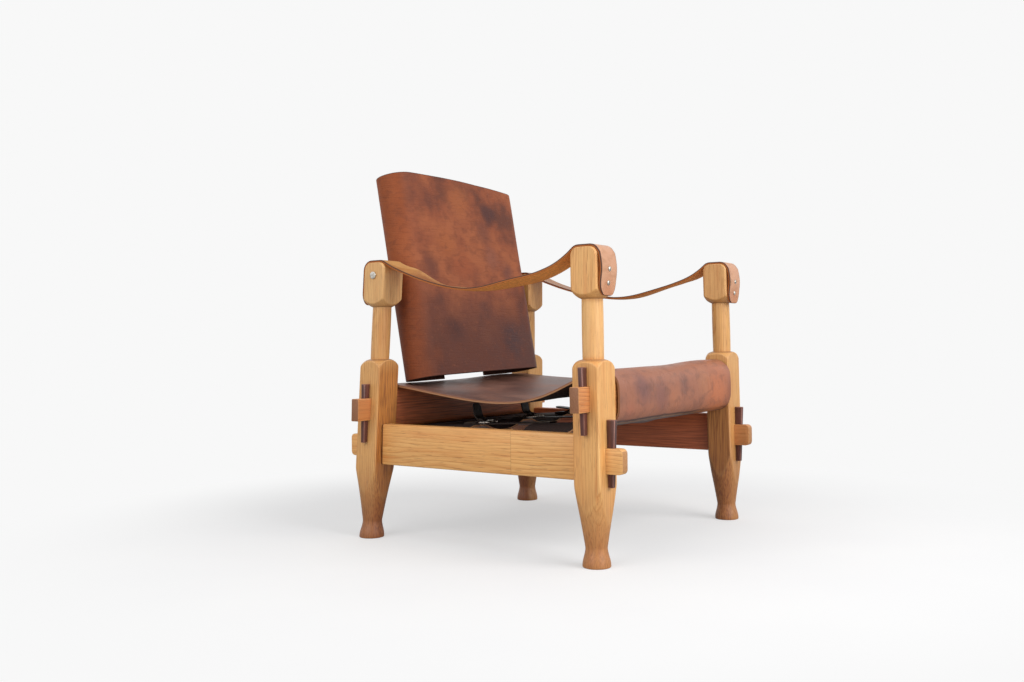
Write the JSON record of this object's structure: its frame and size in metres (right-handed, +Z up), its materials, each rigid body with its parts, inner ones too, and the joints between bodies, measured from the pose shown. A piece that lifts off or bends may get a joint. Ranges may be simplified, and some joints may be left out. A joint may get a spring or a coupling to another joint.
{
  "type": "campaign chair",
  "caption": "Knock-down easy chair with turned posts, wedged through-tenon rails, a leather sling seat, a tilting leather back and leather arm straps.",
  "frame": {"origin": "on the floor, in the middle of the chair's own box in X and Y", "axes": "+Z up, -Y towards the front of the chair, +X towards the sitter's left"},
  "size_m": [0.7452, 0.7058, 0.8116],
  "materials": {
    "oak": "oiled, golden, open grain",
    "dark_wood": "dark, waxed, worn edges",
    "seat_leather": "dark brown saddle leather, satin, worn",
    "back_leather": "mottled cognac saddle leather, satin",
    "strap_leather": "tan saddle leather, dark cut edges",
    "belt_leather": "near-black, stitched",
    "nickel": "dulled nickel plate"
  },
  "bodies": {
    "frame": {"post_front_right": "oak", "post_front_left": "oak", "post_rear_right": "oak", "post_rear_left": "oak", "side_rail_right": "oak", "side_rail_left": "oak", "front_rail": "oak", "rear_rail": "oak", "pivot_spacer_right": "oak", "pivot_spacer_left": "oak", "seat_leather": "seat_leather", "arm_strap_right": "strap_leather", "arm_strap_left": "strap_leather", "seat_belt_right": "belt_leather", "seat_chape_right": "belt_leather", "seat_buckle_right": "nickel", "seat_prong_right": "nickel", "seat_belt_centre": "belt_leather", "seat_chape_centre": "belt_leather", "seat_buckle_centre": "nickel", "seat_prong_centre": "nickel", "seat_belt_left": "belt_leather", "seat_chape_left": "belt_leather", "seat_buckle_left": "nickel", "seat_prong_left": "nickel", "pivot_bolt_right": "nickel", "pivot_bolt_left": "nickel", "strap_screw_front_right_upper": "nickel", "strap_screw_front_right_lower": "nickel", "strap_screw_front_left_upper": "nickel", "strap_screw_front_left_lower": "nickel", "strap_screw_rear_right_upper": "nickel", "strap_screw_rear_right_lower": "nickel", "strap_screw_rear_left_upper": "nickel", "strap_screw_rear_left_lower": "nickel"},
    "backrest": {"back_stile_right": "oak", "back_stile_left": "oak", "back_cross_rail_lower": "oak", "back_cross_rail_upper": "oak", "back_leather": "back_leather", "back_belt_low": "belt_leather", "back_chape_low": "belt_leather", "back_buckle_low": "nickel", "back_prong_low": "nickel", "back_belt_middle": "belt_leather", "back_chape_middle": "belt_leather", "back_buckle_middle": "nickel", "back_prong_middle": "nickel", "back_belt_high": "belt_leather", "back_chape_high": "belt_leather", "back_buckle_high": "nickel", "back_prong_high": "nickel"},
    "wedge_front_rail_right_body": {"wedge_front_rail_right": "dark_wood"},
    "wedge_front_rail_left_body": {"wedge_front_rail_left": "dark_wood"},
    "wedge_rear_rail_right_body": {"wedge_rear_rail_right": "dark_wood"},
    "wedge_rear_rail_left_body": {"wedge_rear_rail_left": "dark_wood"},
    "wedge_side_rail_front_right_body": {"wedge_side_rail_front_right": "dark_wood"},
    "wedge_side_rail_front_left_body": {"wedge_side_rail_front_left": "dark_wood"},
    "wedge_side_rail_rear_right_body": {"wedge_side_rail_rear_right": "dark_wood"},
    "wedge_side_rail_rear_left_body": {"wedge_side_rail_rear_left": "dark_wood"}
  },
  "joints": [
    {"name": "backrest_tilt", "type": "hinge", "parent": "frame", "child": "backrest", "pos_m": [0, 0.25592, 0.572], "axis": [1, 0, 0], "range_deg": [-20, 20]},
    {"name": "wedge_front_rail_right_slide", "type": "slide", "parent": "frame", "child": "wedge_front_rail_right_body", "axis": [0.013, 0.014, 0.9998], "range_m": [0, 0.08]},
    {"name": "wedge_side_rail_front_right_slide", "type": "slide", "parent": "frame", "child": "wedge_side_rail_front_right_body", "axis": [0, 0.014, 0.9999], "range_m": [0, 0.08]},
    {"name": "wedge_rear_rail_right_slide", "type": "slide", "parent": "frame", "child": "wedge_rear_rail_right_body", "axis": [0.0409, -0.0399, 0.9984], "range_m": [0, 0.08]},
    {"name": "wedge_side_rail_rear_right_slide", "type": "slide", "parent": "frame", "child": "wedge_side_rail_rear_right_body", "axis": [0, -0.04, 0.9992], "range_m": [0, 0.08]},
    {"name": "wedge_front_rail_left_slide", "type": "slide", "parent": "frame", "child": "wedge_front_rail_left_body", "axis": [-0.013, 0.014, 0.9998], "range_m": [0, 0.08]},
    {"name": "wedge_side_rail_front_left_slide", "type": "slide", "parent": "frame", "child": "wedge_side_rail_front_left_body", "axis": [0, 0.014, 0.9999], "range_m": [0, 0.08]},
    {"name": "wedge_rear_rail_left_slide", "type": "slide", "parent": "frame", "child": "wedge_rear_rail_left_body", "axis": [-0.0409, -0.0399, 0.9984], "range_m": [0, 0.08]},
    {"name": "wedge_side_rail_rear_left_slide", "type": "slide", "parent": "frame", "child": "wedge_side_rail_rear_left_body", "axis": [0, -0.04, 0.9992], "range_m": [0, 0.08]}
  ]
}
